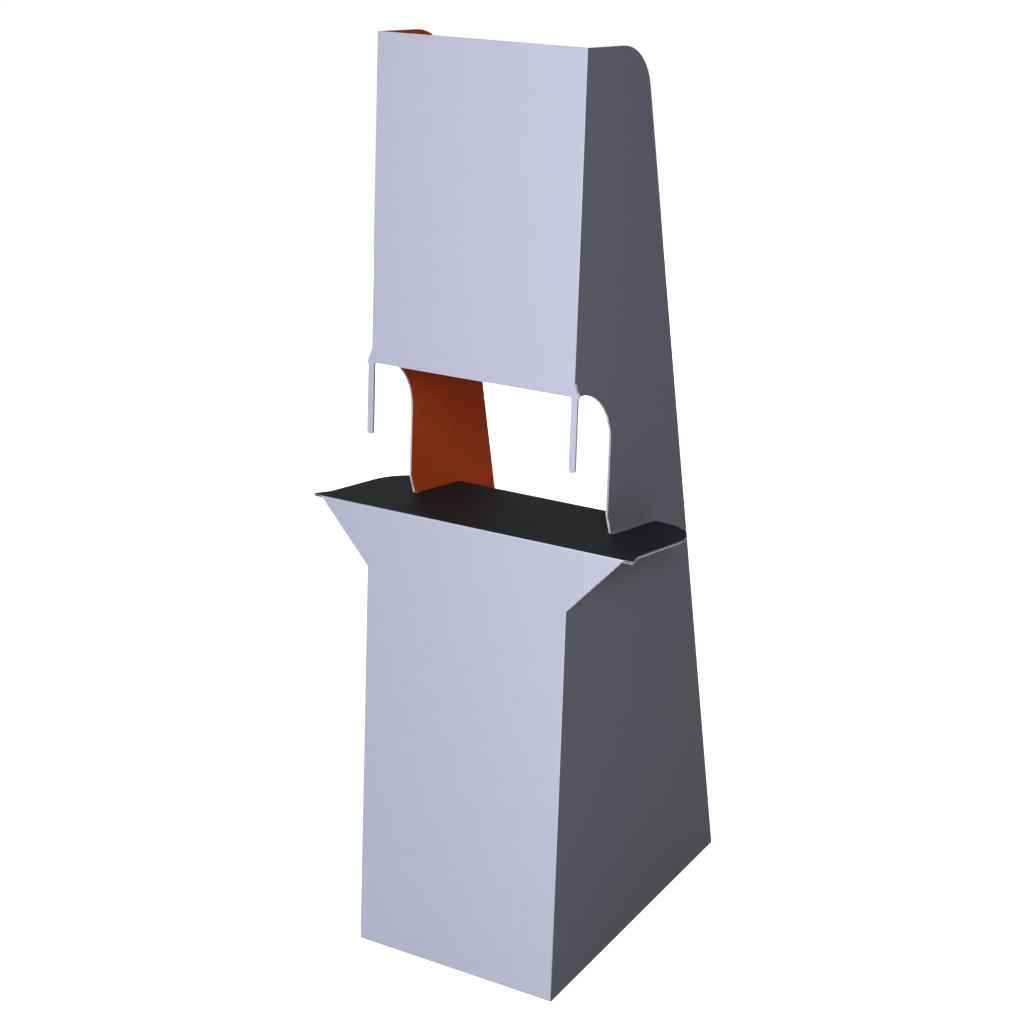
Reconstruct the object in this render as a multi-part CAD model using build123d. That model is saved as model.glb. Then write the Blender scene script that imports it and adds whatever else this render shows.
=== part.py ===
from build123d import *
import math
import os

# Easel-back floor display, die-cut and folded from one sheet of corrugated board.
# The sheet is first drawn with its front upright: X across, Y back from the printed
# front face, Z up along the folds. It is leaned back at the end, so that it stands
# on the lower edges of its front and its two wings.

# The board and the pose
board = 4.0  # thickness of the corrugated board
lean = 15.0  # degrees that the front leans back when the wings stand on the floor
fold_radius = 1.5  # outer rounding of a folded crease
crease_radius = 0.9  # groove that the creasing rule presses along the inside of a fold
rest_gap = 0.3  # air between the shelf and the edges of the wings that carry it

# The front and the header
front_width = 380.0  # over the outer faces of the wings
front_height = 728.5  # bottom edge to the shelf's fold
window_height = 227.0  # shelf's fold to the header's lower edge, and so the shelf's depth
header_height = 503.0
flare_reach = 98.0  # of the 45 degree flares that brace the shelf's front corners

# The wings, measured on their own faces
wing_base = 480.0  # edge that stands on the floor
wing_top = 154.0  # edge along the top, before its corner is rounded
wing_top_radius = 76.0

# The shelf and its two ears
ear_reach = 102.0  # from a wing's outer face to the ear's side edge
ear_tip_reach = 113.5  # from a wing's outer face to the ear's front tip
ear_tip_depth = 31.5  # how far back the slanted edge behind the tip runs
ear_radius = 84.0  # rear corner of an ear, and of the window's corner in the wing

# The slots in the shelf, and the strips they leave on the header
slot_width = 11.6
slot_start = 114.0  # from the shelf's fold to the round end of a slot
strip_root_radius = 3.0
tab_reach = 8.6  # small tab at each lower corner of the header, past the fold
tab_height = 20.0
tab_undercut = 3.2  # how far the tab's lower edge slopes down to the strip
nib_lead = 0.7  # from the small nib on the wing to the window's rounded corner
nib_width = 1.3
nib_drop = 3.5

half = front_width / 2
window_top = front_height + window_height
top = window_top + header_height
shelf_underside = front_height - board
slot_radius = slot_width / 2
slot_end = slot_start + slot_radius


def outline(*corners):
    """A flat closed outline. A corner is (u, v), or (u, v, radius) where it is rounded."""
    face = make_face(Polyline(*[corner[:2] for corner in corners], close=True))
    for corner in corners:
        if len(corner) == 3:
            vertex = face.vertices().sort_by_distance((corner[0], corner[1], 0))[0]
            face = fillet(vertex, corner[2])
    return face


def both_sides(*right):
    """An outline that is mirrored about u = 0, from the corners of its right half."""
    left = [(-corner[0], *corner[1:]) for corner in reversed(right)]
    return outline(*right, *left)


def at_both_folds(v, shape):
    """Two copies of a flat shape, on the fold lines of the wings."""
    return [Pos(side, v) * shape for side in (-half, half)]


def upright(face):
    """A panel that lies in the plane of the front, its printed face at y = 0."""
    return extrude(Plane.XZ * face, amount=-board)


def lower_front():
    """The front below the shelf, flared at its upper corners."""
    face = both_sides(
        (half, 0),
        (half, front_height - flare_reach),
        (half + flare_reach, front_height),
    )
    return upright(face)


def header():
    """The header, with a tab and a round-ended hanging strip at each lower corner."""
    strip_end = front_height + slot_end
    face = both_sides(
        (half, top),
        (half, window_top + tab_height),
        (half + tab_reach, window_top),
        (half + slot_radius, window_top - tab_undercut),
        (half + slot_radius, strip_end),
        (half - slot_radius, strip_end),
        (half - slot_radius, window_top, strip_root_radius),
    )
    return upright(face + at_both_folds(strip_end, Circle(slot_radius)))


def shelf():
    """The window's flap folded back level, wider than the window by its two ears."""
    plate = both_sides(
        (half + ear_tip_reach, 0),
        (half + ear_reach, ear_tip_depth),
        (half + ear_reach, window_height, ear_radius),
    )
    past_rear_edge = window_height - slot_end + board
    slot = Rectangle(slot_width, past_rear_edge, align=(Align.CENTER, Align.MIN))
    plate -= at_both_folds(slot_end, slot)
    plate -= at_both_folds(slot_end, Circle(slot_radius))
    return extrude(Plane.XY.offset(shelf_underside) * plate, amount=board)


def wing():
    """The right wing: foot, flare notch, shelf notch, window and top corner."""
    shelf_seat = shelf_underside - rest_gap
    shelf_cover = front_height + rest_gap
    flare_foot = front_height - flare_reach
    nib_end = ear_reach - ear_radius - nib_lead
    lean_angle = math.radians(lean)
    face = outline(
        (0, 0),
        (wing_base * math.cos(lean_angle), wing_base * math.sin(lean_angle)),
        (wing_top, top, wing_top_radius),
        (0, top),
        (0, window_top + tab_height),
        (tab_reach, window_top),
        (nib_end - nib_width, window_top - nib_drop),
        (nib_end, window_top),
        (ear_reach, window_top, ear_radius),
        (ear_reach, front_height + ear_tip_depth),
        (ear_tip_reach, shelf_cover),
        (slot_end, shelf_cover),
        (slot_end, shelf_seat),
        (shelf_seat - flare_foot, shelf_seat),
        (0, flare_foot),
    )
    return extrude(Plane.YZ.offset(half - board) * face, amount=board)


def fold_waste(length):
    """What a fold takes from a square corner on the z axis, with the board at +x +y."""
    corner = Rectangle(fold_radius, fold_radius, align=Align.MIN)
    outside = corner - Pos(fold_radius, fold_radius) * Circle(fold_radius)
    inside = Pos(board, board) * Circle(crease_radius)
    return extrude(outside, length) + extrude(inside, length)


def shape_folds(sheet):
    """Rounds every fold outside and grooves it inside."""
    lower_length = front_height - flare_reach
    upper_length = header_height - tab_height
    for start, length in ((0, lower_length), (top - upper_length, upper_length)):
        left = Pos(-half, 0, start) * fold_waste(length)
        sheet -= left
        sheet -= left.mirror(Plane.YZ)
    shelf_corner = Plane(
        origin=(half + flare_reach, 0, front_height), x_dir=(0, 1, 0), z_dir=(-1, 0, 0)
    )
    return sheet - shelf_corner * fold_waste(2 * (half + flare_reach))


def stand(sheet):
    """Leans the sheet back onto its feet, with the middle of its footprint at 0, 0, 0."""
    leaned = Rot(X=-lean) * sheet
    standing = split(leaned, bisect_by=Plane.XY).clean()
    box = standing.bounding_box()
    return Pos(-box.center().X, -box.center().Y, 0) * standing


right_wing = wing()
sheet = lower_front() + header() + shelf() + right_wing + right_wing.mirror(Plane.YZ)
folded_sheet = stand(shape_folds(sheet))

os.makedirs("parts", exist_ok=True)
export_step(folded_sheet, "parts/folded_sheet.step")
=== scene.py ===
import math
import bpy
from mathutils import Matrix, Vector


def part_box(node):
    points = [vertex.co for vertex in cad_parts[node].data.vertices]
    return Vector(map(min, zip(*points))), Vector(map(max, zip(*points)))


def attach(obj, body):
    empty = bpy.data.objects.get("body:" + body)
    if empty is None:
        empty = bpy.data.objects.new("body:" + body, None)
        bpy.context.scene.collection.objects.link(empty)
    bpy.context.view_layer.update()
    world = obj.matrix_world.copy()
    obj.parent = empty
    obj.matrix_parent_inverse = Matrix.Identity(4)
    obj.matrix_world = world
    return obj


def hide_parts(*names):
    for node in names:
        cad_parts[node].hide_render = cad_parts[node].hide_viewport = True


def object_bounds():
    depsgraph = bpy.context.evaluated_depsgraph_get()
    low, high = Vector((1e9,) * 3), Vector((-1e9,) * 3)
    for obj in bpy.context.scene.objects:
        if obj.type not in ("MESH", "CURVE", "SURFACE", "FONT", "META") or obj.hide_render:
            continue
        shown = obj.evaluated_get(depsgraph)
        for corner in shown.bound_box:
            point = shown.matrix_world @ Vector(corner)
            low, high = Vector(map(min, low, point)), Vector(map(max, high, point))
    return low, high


bl_info = {
    "name": "Easel-back display",
    "version": (1, 0),
    "blender": (4, 5, 0),
    "location": "3D View > Sidebar > Display",
    "description": "Dresses a folded floor display in printed and plain corrugated board",
    "category": "Object",
}

import bmesh
import bpy
from mathutils import Matrix, Vector

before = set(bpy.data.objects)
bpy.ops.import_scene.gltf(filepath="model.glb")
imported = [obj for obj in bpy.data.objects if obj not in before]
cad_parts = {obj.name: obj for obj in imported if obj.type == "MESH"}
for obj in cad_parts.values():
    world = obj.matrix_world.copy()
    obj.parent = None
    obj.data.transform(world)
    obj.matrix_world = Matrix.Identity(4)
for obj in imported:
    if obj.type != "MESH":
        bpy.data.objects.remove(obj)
CAD_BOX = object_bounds()
CAD_NODE = "folded_sheet"

# Lengths in metres: how near a face lies to its ply, how near two corners of the packed
# sheet are if they are one, and the same for the fluted paper.
ON_PLY = 0.00005
MERGE = 0.00001
WELD = 0.0000001
# Two directions are taken as one if their cosine is over this.
SQUARE = 0.99

# The pieces' UV map, which is the place on the uncut sheet in metres, and their attribute
# for how squarely a cut faces sideways, from 0 to 1, which sets the cut's painted grey shade.
SHEET_MAP = "flat_sheet"
SIDEWAYS = "sideways"
# A cut turns from pale to a painted grey shade between these two values of that attribute.
SIDE_SHADE_RAMP = (0.45, 0.85)

# Tones as shares of a paper's own colour: the ends of each grain, the lip of the shelf, which
# is a painted highlight with paler cracked ink, the flecks in the kraft, and the fuzz of a cut.
PRINT_TONES = (0.955, 1.06)
KRAFT_TONES = (0.84, 1.17)
LIP_INK_AND_HIGHLIGHT_TONE = 1.08
FLECK_TONE = 0.6
FUZZ_TONE = 0.5
# Width in metres over which the lip blends into the front's ink.
LIP_BLEND = 0.0004
# Depth of the papers' relief, in metres.
PRINT_RELIEF = 0.00004
KRAFT_RELIEF = 0.00005
FUZZ_RELIEF = 0.00003
# Fibres in a metre of a cut, and the weak gloss of uncoated paper.
FUZZ = 1500
SPECULAR = 0.12

# The lamps' places, the width of their soft discs and half the width of the floor, in metres.
KEY_PLACE = (2.25, -1.75, 2.2)
FILL_PLACE = (-2.0, 2.3, 1.0)
LAMP_SIZE = 1.6
FLOOR_REACH = 30


def srgb(red, green, blue):
    """A screen colour, 0 to 255, as the linear colour that Blender's shaders take."""

    def linear(value):
        share = value / 255
        return share / 12.92 if share <= 0.04045 else ((share + 0.055) / 1.055) ** 2.4

    return (linear(red), linear(green), linear(blue))


def length(name, description, default):
    return bpy.props.FloatProperty(
        name=name, description=description, default=default, min=0, precision=5, unit="LENGTH"
    )


def angle(name, description, degrees):
    return bpy.props.FloatProperty(
        name=name, description=description, default=math.radians(degrees), unit="ROTATION"
    )


def colour(name, description, default):
    return bpy.props.FloatVectorProperty(
        name=name, description=description, default=default, subtype="COLOR", min=0, max=1
    )


def amount(name, description, default):
    return bpy.props.FloatProperty(name=name, description=description, default=default, min=0)


class SheetSizes(bpy.types.PropertyGroup):
    """The folded sheet, and the plies that its board is glued up from."""

    board: length("Board", "Thickness of the corrugated board", 0.004)
    lean: angle("Lean", "How far the front leans back", 15)
    front_width: length("Front width", "Over the outer faces of the wings", 0.380)
    shelf_fold: length("Shelf fold", "Up the front, from its foot to the shelf's fold", 0.7285)
    flare_reach: length("Flare reach", "How far the flares reach out past the wings", 0.098)
    fold_radius: length("Fold radius", "Outer rounding of a fold", 0.0015)
    crease_radius: length("Crease radius", "Groove along the inside of a fold", 0.0009)
    liner: length("Liner", "Thickness of the paper on each side of the flutes", 0.0004)
    flute_pitch: length("Flute pitch", "From one flute's crest to the next", 0.0079)
    flute_paper: length("Flute paper", "Thickness of the fluted paper", 0.0003)
    flute_steps: bpy.props.IntProperty(
        name="Flute steps", description="Flat strips that make up one flute", default=10, min=4
    )


class PaperColours(bpy.types.PropertyGroup):
    """The inks on the printed side, of which the wings' and the shelf's are partly painted shade,
    the cuts' pale and painted grey shade, and the bare papers.
    """

    front: colour("Front", "Ink on the front, the header and the flares", srgb(197, 198, 221))
    # Partly print, partly painted shade: darker copies of the front's ink for the side and top
    # faces.
    wing: colour("Wings", "Ink on the wings' outer faces", srgb(82, 81, 90))
    shelf: colour("Shelf", "Ink on the shelf and its ears", srgb(31, 32, 37))
    kraft: colour("Kraft", "Bare liner on the inner side", srgb(138, 49, 8))
    edge: colour("Cut edge", "Cuts that face forwards, backwards, up or down", srgb(232, 229, 239))
    # Painted shade: sideways cuts get this darker grey in place of the pale cut colour.
    side_edge_shade: colour("Side edge", "Cuts that face sideways", srgb(106, 105, 110))


class StudioSettings(bpy.types.PropertyGroup):
    """The camera, the lamps and the floor."""

    azimuth: angle("Azimuth", "How far the camera stands round to the right", 38.715)
    elevation: angle("Elevation", "How far the camera looks down", 26.248)
    roll: angle("Roll", "Turn of the camera about its line of sight", -7.708)
    eye: bpy.props.FloatVectorProperty(
        name="Eye",
        description="Where the camera stands",
        default=(2.2177, -2.7242, 2.4206),
        unit="LENGTH",
    )
    lens: bpy.props.FloatProperty(
        name="Lens", description="Focal length", default=89.16, unit="CAMERA"
    )
    floor: colour("Floor", "Pale grey floor", srgb(205, 205, 205))
    ambient: amount("Ambient", "Strength of the light from all round", 0.32)
    key: amount("Key", "Power of the large soft lamp at the front right, in watts", 93)
    fill: amount("Fill", "Power of the soft lamp at the rear left, in watts", 75)


def settings():
    scene = bpy.context.scene
    return scene.display_sheet, scene.display_colours, scene.display_studio


class Link:
    """An output of a node, so that maths on it reads as Python."""

    def __init__(self, graph, socket):
        self.graph = graph
        self.socket = socket

    def __add__(self, other):
        return self.graph.math("ADD", self, other)

    def __sub__(self, other):
        return self.graph.math("SUBTRACT", self, other)

    def __rsub__(self, other):
        return self.graph.math("SUBTRACT", other, self)

    def __mul__(self, other):
        return self.graph.math("MULTIPLY", self, other)

    def __truediv__(self, other):
        return self.graph.math("DIVIDE", self, other)

    def __rtruediv__(self, other):
        return self.graph.math("DIVIDE", other, self)

    __radd__ = __add__
    __rmul__ = __mul__


class Graph:
    """A tree of shader or geometry nodes."""

    def __init__(self, tree):
        self.tree = tree
        tree.nodes.clear()

    def node(self, kind, options, sockets, output=0):
        """A node with its options set first, then its sockets' values or links."""
        made = self.tree.nodes.new(kind)
        for name, value in options.items():
            setattr(made, name, value)
        for name, value in sockets.items():
            for item in value if isinstance(value, list) else [value]:
                if isinstance(item, Link):
                    self.tree.links.new(item.socket, made.inputs[name])
                else:
                    made.inputs[name].default_value = item
        return Link(self, made.outputs[output]) if made.outputs else made

    def math(self, operation, *values):
        return self.node("ShaderNodeMath", {"operation": operation}, dict(enumerate(values)))

    def ramp(self, value, start, end):
        """0 up to start and 1 from end, with a smooth step between."""
        sockets = {"Value": value, "From Min": start, "From Max": end}
        return self.node("ShaderNodeMapRange", {"interpolation_type": "SMOOTHSTEP"}, sockets)

    def blend(self, share, first, second):
        """The first colour where the share is 0, and the second where it is 1."""
        first, second = (
            item if isinstance(item, Link) else (*item, 1) for item in (first, second)
        )
        # Counted from 0, a Mix node's colours are its inputs 6 and 7 and its output 2.
        sockets = {0: share, 6: first, 7: second}
        return self.node("ShaderNodeMix", {"data_type": "RGBA"}, sockets, 2)


def shade(ink, tone):
    return tuple(min(channel * tone, 1) for channel in ink)


class Paper(Graph):
    """A paper's material. Its patterns lie on the flat sheet, so they run on over the folds."""

    def __init__(self, name):
        self.material = bpy.data.materials.new(name)
        self.material.use_nodes = True
        super().__init__(self.material.node_tree)
        self.place = self.node("ShaderNodeUVMap", {"uv_map": SHEET_MAP}, {})
        self.across = self.node("ShaderNodeSeparateXYZ", {}, {"Vector": self.place}, "X")
        self.along = self.node("ShaderNodeSeparateXYZ", {}, {"Vector": self.place}, "Y")

    def noise(self, across, along, detail):
        """Noise with this many features in a metre across the flutes and along them."""
        sockets = {0: self.place, 1: (across, along, 1)}
        place = self.node("ShaderNodeVectorMath", {"operation": "MULTIPLY"}, sockets)
        sockets = {"Vector": place, "Scale": 1, "Detail": detail}
        return self.node("ShaderNodeTexNoise", {}, sockets)

    def strong_noise(self, across, along, detail):
        """Noise whose middle values are spread over 0 to 1."""
        return self.ramp(self.noise(across, along, detail), 0.3, 0.7)

    def flutes(self, pitch):
        """1 on the crest of a flute below the liner and -1 between two of them."""
        return self.math("COSINE", self.across * (2 * math.pi / pitch))

    def finish(self, base, roughness, height, relief):
        bump = {"Height": height, "Distance": relief, "Strength": 1}
        sockets = {
            "Base Color": base,
            "Roughness": roughness,
            "Specular IOR Level": SPECULAR,
            "Normal": self.node("ShaderNodeBump", {}, bump),
        }
        shader = self.node("ShaderNodeBsdfPrincipled", {}, sockets)
        self.node("ShaderNodeOutputMaterial", {}, {"Surface": shader})
        return self.material


def printed_paper(name, ink, pitch, add_lip_ink_and_highlight=None):
    """Flood print on the liner: faint streaks over the flutes, mottle and fine fibre."""
    paper = Paper(name)
    streaks = paper.flutes(pitch)
    mottle = paper.noise(40, 24, 4)
    fibre = paper.strong_noise(900, 2600, 3)
    tone = mottle * 0.5 + fibre * 0.35 + streaks * 0.06
    base = paper.blend(tone, *(shade(ink, end) for end in PRINT_TONES))
    # The lip band is a painted highlight, with paler cracked ink at the crease.
    if add_lip_ink_and_highlight:
        base = add_lip_ink_and_highlight(paper, base)
    return paper.finish(base, mottle * 0.1 + 0.58, streaks * 0.5 + fibre * 0.25, PRINT_RELIEF)


def lip_ink_and_highlight(sheet, ink):
    """What adds the paler band to the front's ink, one board high, where the shelf folds: a
    painted highlight along the fold's rounding, with paler cracked ink at the crease.
    """

    def add_lip_ink_and_highlight(paper, base):
        top = sheet.shelf_fold
        foot = top - sheet.board
        below = paper.ramp(paper.along, foot, foot + LIP_BLEND)
        above = paper.ramp(paper.along, top, top + LIP_BLEND)
        return paper.blend(below - above, base, shade(ink, LIP_INK_AND_HIGHLIGHT_TONE))

    return add_lip_ink_and_highlight


def kraft_paper(name, brown, pitch):
    """Bare brown liner: clouds, fibres, darker flecks, and faint streaks over the flutes."""
    paper = Paper(name)
    streaks = paper.flutes(pitch)
    cloud = paper.strong_noise(16, 25.6, 4)
    fibre = paper.strong_noise(500, 2400, 4)
    fleck = paper.ramp(paper.noise(260, 900, 2), 0.66, 0.76)
    tone = cloud * 0.25 + fibre * 0.75 + streaks * 0.07
    base = paper.blend(tone, *(shade(brown, end) for end in KRAFT_TONES))
    base = paper.blend(fleck * 0.35, base, shade(brown, FLECK_TONE))
    return paper.finish(base, fibre * 0.1 + 0.72, streaks * 0.6 + fibre * 0.4, KRAFT_RELIEF)


def edge_paper(name, pale, grey):
    """Cut paper: fuzzy and pale, with a painted grey shade the more squarely the cut faces
    sideways.
    """
    paper = Paper(name)
    place = paper.node("ShaderNodeTexCoord", {}, {}, "Object")
    fuzz = paper.node("ShaderNodeTexNoise", {}, {"Vector": place, "Scale": FUZZ, "Detail": 3})
    sideways = paper.node("ShaderNodeAttribute", {"attribute_name": SIDEWAYS}, {}, "Fac")
    # Painted shade: the pale cut turns grey where it faces sideways.
    base = paper.blend(paper.ramp(sideways, *SIDE_SHADE_RAMP), pale, grey)
    base = paper.blend(fuzz * 0.25, base, shade(grey, FUZZ_TONE))
    return paper.finish(base, fuzz * 0.1 + 0.8, fuzz, FUZZ_RELIEF)


def panels(sheet):
    """Where each panel of the flat sheet ends up. On the flat sheet X runs across the
    flutes, Y along them, and Z out of the printed side, which lies at Z = 0."""
    half = sheet.front_width / 2
    fold = sheet.shelf_fold
    foot = Vector((0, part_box(CAD_NODE)[0].y, 0))
    standing = Matrix.Translation(foot) @ Matrix.Rotation(-sheet.lean, 4, "X")

    def folded(across, along, out, start):
        columns = (*map(Vector, (across, along, out)), Vector(start))
        return standing @ Matrix([(*row,) for row in zip(*columns)] + [(0, 0, 0, 1)])

    return {
        "front": folded((1, 0, 0), (0, 0, 1), (0, -1, 0), (0, 0, 0)),
        "shelf": folded((1, 0, 0), (0, 1, 0), (0, 0, 1), (0, -fold, fold)),
        "right wing": folded((0, 1, 0), (0, 0, 1), (1, 0, 0), (half, -half, 0)),
        "left wing": folded((0, -1, 0), (0, 0, 1), (-1, 0, 0), (-half, -half, 0)),
    }


def across_share(place):
    """1 on a panel that runs across the display, whose side cuts face sideways, and 0 on a
    wing, which has none that do. It weights the painted shade on side cuts."""
    return abs(place[0][0])


def read_sheet():
    """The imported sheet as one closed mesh, its loose triangles merged."""
    mesh = bmesh.new()
    mesh.from_mesh(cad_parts[CAD_NODE].data)
    bmesh.ops.remove_doubles(mesh, verts=mesh.verts, dist=MERGE)
    mesh.normal_update()
    return mesh


def in_fold(points, out, sheet, inset, reach):
    """If a face whose corners and outward normal are given on the front's flat sheet lies
    in a fold: within reach of the fold's line, which lies inset from the printed sides."""

    def near(value):
        return abs(value + inset) < reach + ON_PLY

    half = sheet.front_width / 2
    side = all(near(abs(point.x) - half) and near(point.z) for point in points)
    shelf = all(near(point.y - sheet.shelf_fold) and near(point.z) for point in points)
    return side and abs(out.y) < SQUARE or shelf and abs(out.x) < SQUARE


def ply_of(face, sheet, places):
    """The ply that a face of the sheet is the skin of, 0 for the printed one and 1 for the
    plain one, the panel that it follows, and if it is in a fold. None at a cut edge."""
    flare_tip = sheet.front_width / 2 + sheet.flare_reach
    for name, place in places.items():
        flat = place.inverted()
        out = (flat.to_3x3() @ face.normal).z
        across, _, depth = flat @ face.calc_center_median()
        if out > SQUARE and abs(depth) < ON_PLY:
            # The ears' tips end in the plane of the front, past the flares, at a cut.
            cut = name == "front" and abs(across) > flare_tip
            return None if cut else (0, name, False)
        if out < -SQUARE and abs(depth + sheet.board) < ON_PLY:
            return 1, name, False
    flat = places["front"].inverted()
    points = [flat @ vertex.co for vertex in face.verts]
    out = flat.to_3x3() @ face.normal
    folds = ((0, 0, sheet.fold_radius, 1), (1, sheet.board, sheet.crease_radius, -1))
    for ply, inset, reach, sign in folds:
        if in_fold(points, out, sheet, inset, reach):
            panel = max(places, key=lambda name: sign * places[name].col[2].xyz.dot(face.normal))
            return ply, panel, True
    return None


def new_object(name, data):
    made = bpy.data.objects.new(name, data)
    bpy.context.scene.collection.objects.link(made)
    return made


def plain(holder, name):
    """The plain mesh that an object and its modifiers make. The object is removed."""
    evaluated = holder.evaluated_get(bpy.context.evaluated_depsgraph_get())
    mesh = bpy.data.meshes.new_from_object(evaluated)
    mesh.name = name
    bpy.data.objects.remove(holder)
    return mesh


def dress(name, mesh):
    """Hands a finished piece to the frame, with what would reach into the floor pressed flat."""
    if not mesh.polygons:
        raise RuntimeError(f"{name} came out empty")
    for vertex in mesh.vertices:
        vertex.co.z = max(vertex.co.z, 0)
    piece = new_object(name, mesh)
    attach(piece, "root")
    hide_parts(CAD_NODE)


def cut_liner(name, ply, materials, slots):
    """One of the board's two liners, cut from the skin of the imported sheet. Its last
    material is for the hidden side and the cuts."""
    sheet = settings()[0]
    places = panels(sheet)
    flat = {panel: place.inverted() for panel, place in places.items()}
    skin = read_sheet()
    sheet_map = skin.loops.layers.uv.new(SHEET_MAP)
    sideways = skin.faces.layers.float.new(SIDEWAYS)
    spare = []
    for face in skin.faces:
        found, panel, folded = ply_of(face, sheet, places) or (None, None, None)
        if found != ply:
            spare.append(face)
            continue
        face.smooth = folded
        face.material_index = slots[panel]
        face[sideways] = across_share(places[panel])
        for loop in face.loops:
            loop[sheet_map].uv = (flat[panel] @ loop.vert.co).xy
    bmesh.ops.delete(skin, geom=spare, context="FACES")
    mesh = bpy.data.meshes.new(name)
    skin.to_mesh(mesh)
    skin.free()
    for material in materials:
        mesh.materials.append(material)
    holder = new_object(name, mesh)
    wall = holder.modifiers.new("Liner", "SOLIDIFY")
    wall.thickness = sheet.liner
    wall.offset = -1
    wall.use_even_offset = True
    wall.use_quality_normals = True
    wall.material_offset = len(materials)
    wall.material_offset_rim = len(materials)
    made = plain(holder, name)
    # The painted side shade follows how squarely each face points sideways.
    for face, share in zip(made.polygons, made.attributes[SIDEWAYS].data):
        share.value *= abs(face.normal.x)
    return made


class DISPLAY_OT_printed_liner(bpy.types.Operator):
    """Make the outer liner, with the inks of the front, the wings and the shelf; the wings' and
    shelf's darker inks are partly painted shade
    """

    bl_idname = "display.printed_liner"
    bl_label = "Printed liner"

    def execute(self, context):
        sheet, colours, _ = settings()
        pitch = sheet.flute_pitch
        front = colours.front[:]
        materials = [
            printed_paper("front_print", front, pitch, lip_ink_and_highlight(sheet, front)),
            # The wing and shelf inks are partly painted shade.
            printed_paper("wing_print_and_shade", colours.wing[:], pitch),
            printed_paper("shelf_print_and_shade", colours.shelf[:], pitch),
            edge_paper("liner_edge", colours.edge[:], colours.side_edge_shade[:]),
        ]
        slots = {"front": 0, "right wing": 1, "left wing": 1, "shelf": 2}
        dress("printed_liner", cut_liner("printed_liner", 0, materials, slots))
        return {"FINISHED"}


class DISPLAY_OT_kraft_liner(bpy.types.Operator):
    """Make the plain brown liner on the inner side"""

    bl_idname = "display.kraft_liner"
    bl_label = "Kraft liner"

    def execute(self, context):
        sheet, colours, _ = settings()
        materials = [
            kraft_paper("kraft_liner", colours.kraft[:], sheet.flute_pitch),
            edge_paper("kraft_edge", colours.edge[:], colours.side_edge_shade[:]),
        ]
        slots = dict.fromkeys(panels(sheet), 0)
        dress("kraft_liner", cut_liner("kraft_liner", 1, materials, slots))
        return {"FINISHED"}


class Shape(Graph):
    """A tree of geometry nodes."""

    def vector(self, x, y, z):
        return self.node("ShaderNodeCombineXYZ", {}, {"X": x, "Y": y, "Z": z})

    def part(self, vector, axis):
        return self.node("ShaderNodeSeparateXYZ", {}, {"Vector": vector}, axis)

    def moved(self, surface, offset):
        sockets = {"Geometry": surface, "Offset": offset}
        return self.node("GeometryNodeSetPosition", {}, sockets)

    def thick(self, surface, thickness):
        """Gives a surface its thickness, downwards, and closes it."""
        under = self.node("GeometryNodeFlipFaces", {}, {"Mesh": surface})
        down = self.vector(0, 0, 0 - thickness)
        sockets = {"Mesh": under, "Offset": down, "Individual": False}
        under = self.node("GeometryNodeExtrudeMesh", {}, sockets)
        both = self.node("GeometryNodeJoinGeometry", {}, {"Geometry": [under, surface]})
        sockets = {"Geometry": both, "Distance": WELD}
        return self.node("GeometryNodeMergeByDistance", {}, sockets)


def flute_tree(material, sizes):
    """Geometry nodes that fill a flat panel's outline with fluted paper, and the identifiers
    of their inputs, one for each size."""
    tree = bpy.data.node_groups.new("Flutes", "GeometryNodeTree")
    tree.interface.new_socket("Panel", in_out="INPUT", socket_type="NodeSocketGeometry")
    identifiers = {}
    for name, size in sizes.items():
        kind = "NodeSocketInt" if isinstance(size, int) else "NodeSocketFloat"
        socket = tree.interface.new_socket(name, in_out="INPUT", socket_type=kind)
        socket.default_value = size
        identifiers[name] = socket.identifier
    tree.interface.new_socket("Flutes", in_out="OUTPUT", socket_type="NodeSocketGeometry")

    graph = Shape(tree)
    panel = graph.node("NodeGroupInput", {}, {}, "Panel")
    given = {name: Link(graph, panel.socket.node.outputs[name]) for name in sizes}
    board, liner, pitch, paper, steps, sideways = given.values()

    low = graph.node("GeometryNodeBoundBox", {}, {"Geometry": panel}, "Min")
    high = Link(graph, low.socket.node.outputs["Max"])
    left, right = graph.part(low, "X"), graph.part(high, "X")
    foot, top = graph.part(low, "Y"), graph.part(high, "Y")
    wide = right - left
    grid = {
        "Size X": wide,
        "Size Y": top - foot + pitch,
        "Vertices X": wide / pitch * steps,
        "Vertices Y": 2,
    }
    flat = graph.node("GeometryNodeMeshGrid", {}, grid)
    middle = graph.vector((right + left) * 0.5, (top + foot) * 0.5, (paper - board) * 0.5)
    flat = graph.moved(flat, middle)
    across = graph.part(graph.node("GeometryNodeInputPosition", {}, {}), "X")
    height = board * 0.5 - liner - paper * 0.5
    wave = graph.math("COSINE", across / pitch * (2 * math.pi)) * height
    wavy = graph.moved(flat, graph.vector(0, 0, wave))
    cut = graph.node(
        "GeometryNodeMeshBoolean",
        {"operation": "INTERSECT", "solver": "MANIFOLD"},
        {"Mesh 2": [graph.thick(wavy, paper), graph.thick(panel, board)]},
    )
    # Painted shade: flute walls facing sideways, on panels across the display, get the grey side
    # shade.
    along = graph.part(graph.node("GeometryNodeInputNormal", {}, {}), "Y")
    wall = 1 - graph.math("ABSOLUTE", along)
    toned = graph.node(
        "GeometryNodeStoreNamedAttribute",
        {"data_type": "FLOAT", "domain": "FACE"},
        {"Geometry": cut, "Name": SIDEWAYS, "Value": wall * sideways},
    )
    real = graph.node("GeometryNodeRealizeInstances", {}, {"Geometry": toned})
    done = graph.node("GeometryNodeSetMaterial", {}, {"Geometry": real, "Material": material})
    graph.node("NodeGroupOutput", {}, {"Flutes": done})
    return tree, identifiers


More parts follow.
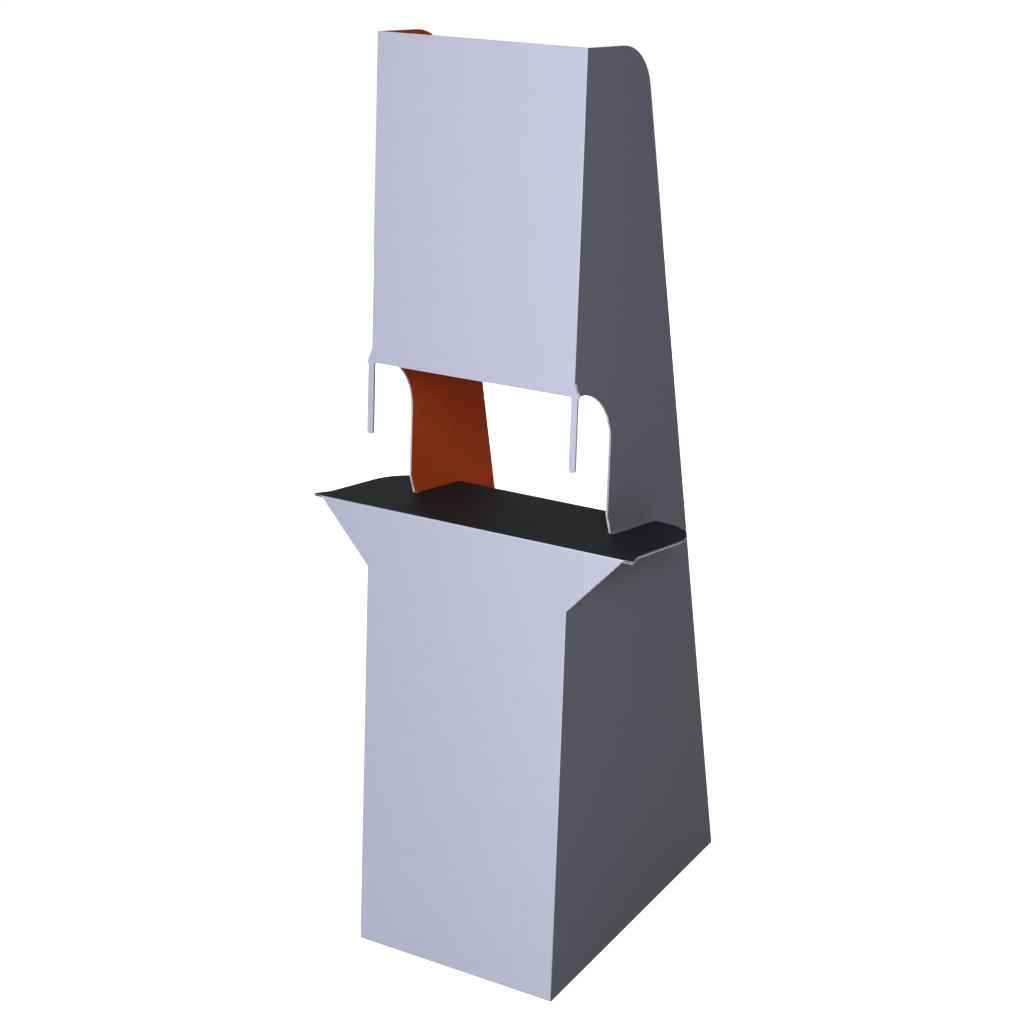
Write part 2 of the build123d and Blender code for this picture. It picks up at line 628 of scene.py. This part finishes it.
def flat_panel(panel, sheet, places):
    """The flat printed face of one panel, laid down as it was on the uncut sheet. A wing's
    is kept clear of the front's board."""
    skin = read_sheet()
    spare = [face for face in skin.faces if ply_of(face, sheet, places) != (0, panel, False)]
    bmesh.ops.delete(skin, geom=spare, context="FACES")
    bmesh.ops.transform(skin, matrix=places[panel].inverted(), verts=skin.verts)
    clear = sheet.front_width / 2 + sheet.board
    for vertex in skin.verts:
        vertex.co.z = 0
        if "wing" in panel:
            vertex.co.x = math.copysign(max(abs(vertex.co.x), clear), vertex.co.x)
    mesh = bpy.data.meshes.new(panel)
    skin.to_mesh(mesh)
    skin.free()
    return mesh


class DISPLAY_OT_flutes(bpy.types.Operator):
    """Fill the board with its fluted paper, which shows at the cut edges"""

    bl_idname = "display.flutes"
    bl_label = "Flutes"

    def execute(self, context):
        sheet, colours, _ = settings()
        places = panels(sheet)
        material = edge_paper("fluted_paper", colours.edge[:], colours.side_edge_shade[:])
        sizes = {
            "Board": sheet.board,
            "Liner": sheet.liner,
            "Pitch": sheet.flute_pitch,
            "Paper": sheet.flute_paper,
            "Steps": sheet.flute_steps,
            "Sideways": 0.0,
        }
        tree, identifiers = flute_tree(material, sizes)
        whole = bmesh.new()
        for name, place in places.items():
            holder = new_object(name, flat_panel(name, sheet, places))
            modifier = holder.modifiers.new("Flutes", "NODES")
            modifier.node_group = tree
            sizes["Sideways"] = across_share(place)
            for label, size in sizes.items():
                modifier[identifiers[label]] = size
            mesh = plain(holder, name)
            mesh.transform(place)
            whole.from_mesh(mesh)
        made = bpy.data.meshes.new("flutes")
        whole.to_mesh(made)
        whole.free()
        made.materials.append(material)
        dress("flutes", made)
        return {"FINISHED"}


def backdrop_material(name, pale, ambient):
    """A grey floor that glows for the camera alone, just enough to be white in the light
    from all round. The display's shadow shows only where it takes away more light than
    the lamps add."""
    material = bpy.data.materials.new(name)
    material.use_nodes = True
    graph = Graph(material.node_tree)
    seen = graph.node("ShaderNodeLightPath", {}, {}, "Is Camera Ray")
    lit = graph.node("ShaderNodeBsdfDiffuse", {}, {"Color": (*pale, 1)})
    sockets = {"Color": (1, 1, 1, 1), "Strength": seen * (1 - pale[0] * ambient)}
    glow = graph.node("ShaderNodeEmission", {}, sockets)
    both = graph.node("ShaderNodeAddShader", {}, {0: lit, 1: glow})
    graph.node("ShaderNodeOutputMaterial", {}, {"Surface": both})
    return material


def white_surround(ambient):
    """Even light from all round, which the camera sees as white."""
    world = bpy.data.worlds.new("surround")
    bpy.context.scene.world = world
    world.use_nodes = True
    graph = Graph(world.node_tree)
    seen = graph.node("ShaderNodeLightPath", {}, {}, "Is Camera Ray")
    sockets = {"Color": (1, 1, 1, 1), "Strength": seen * (1 - ambient) + ambient}
    light = graph.node("ShaderNodeBackground", {}, sockets)
    graph.node("ShaderNodeOutputWorld", {}, {"Surface": light})


def soft_lamp(name, place, power):
    """A round lamp, which the camera doesn't see, aimed at the middle of the display."""
    light = bpy.data.lights.new(name, "AREA")
    light.shape = "DISK"
    light.size = LAMP_SIZE
    light.energy = power
    lamp = new_object(name, light)
    lamp.location = place
    lamp.visible_camera = False
    middle = (CAD_BOX[0] + CAD_BOX[1]) / 2
    lamp.rotation_euler = (lamp.location - middle).to_track_quat("Z", "Y").to_euler()
    return lamp


class DISPLAY_OT_studio(bpy.types.Operator):
    """Set up the floor, the soft lamps and the camera"""

    bl_idname = "display.studio"
    bl_label = "Studio"

    def execute(self, context):
        studio = settings()[2]
        scene = context.scene
        scene.view_settings.view_transform = "Standard"
        white_surround(studio.ambient)

        reach = FLOOR_REACH
        corners = [(-reach, -reach, 0), (reach, -reach, 0), (reach, reach, 0), (-reach, reach, 0)]
        ground = bpy.data.meshes.new("floor")
        ground.from_pydata(corners, [], [(0, 1, 2, 3)])
        ground.materials.append(backdrop_material("floor", studio.floor[:], studio.ambient))
        new_object("floor", ground)

        soft_lamp("key", KEY_PLACE, studio.key)
        # The fill would show as a glare on the shelf.
        fill = soft_lamp("fill", FILL_PLACE, studio.fill)
        fill.visible_glossy = False

        camera = new_object("camera", bpy.data.cameras.new("camera"))
        camera.data.lens = studio.lens
        level = math.cos(studio.elevation)
        back = Vector((
            math.sin(studio.azimuth) * level,
            -math.cos(studio.azimuth) * level,
            math.sin(studio.elevation),
        ))
        facing = back.to_track_quat("Z", "Y").to_matrix().to_4x4()
        turn = Matrix.Rotation(studio.roll, 4, "Z")
        camera.matrix_world = Matrix.Translation(studio.eye) @ facing @ turn
        scene.camera = camera
        return {"FINISHED"}


class DISPLAY_PT_display(bpy.types.Panel):
    """The display's sizes, its colours and the studio"""

    bl_idname = "DISPLAY_PT_display"
    bl_label = "Easel-back display"
    bl_space_type = "VIEW_3D"
    bl_region_type = "UI"
    bl_category = "Display"

    def draw(self, context):
        layout = self.layout
        for group in settings():
            box = layout.box()
            for name in group.bl_rna.properties.keys():
                if name not in ("rna_type", "name"):
                    box.prop(group, name)
        for operator in OPERATORS:
            layout.operator(operator.bl_idname)


GROUPS = {
    "display_sheet": SheetSizes,
    "display_colours": PaperColours,
    "display_studio": StudioSettings,
}
OPERATORS = (
    DISPLAY_OT_printed_liner,
    DISPLAY_OT_kraft_liner,
    DISPLAY_OT_flutes,
    DISPLAY_OT_studio,
)


def register():
    for item in (*GROUPS.values(), *OPERATORS, DISPLAY_PT_display):
        bpy.utils.register_class(item)
    for name, group in GROUPS.items():
        setattr(bpy.types.Scene, name, bpy.props.PointerProperty(type=group))


def unregister():
    for name in GROUPS:
        delattr(bpy.types.Scene, name)
    for item in (DISPLAY_PT_display, *reversed(OPERATORS), *reversed(GROUPS.values())):
        bpy.utils.unregister_class(item)


def main():
    register()
    bpy.ops.display.printed_liner()
    bpy.ops.display.kraft_liner()
    bpy.ops.display.flutes()
    bpy.ops.display.studio()


if __name__ == "__main__":
    main()
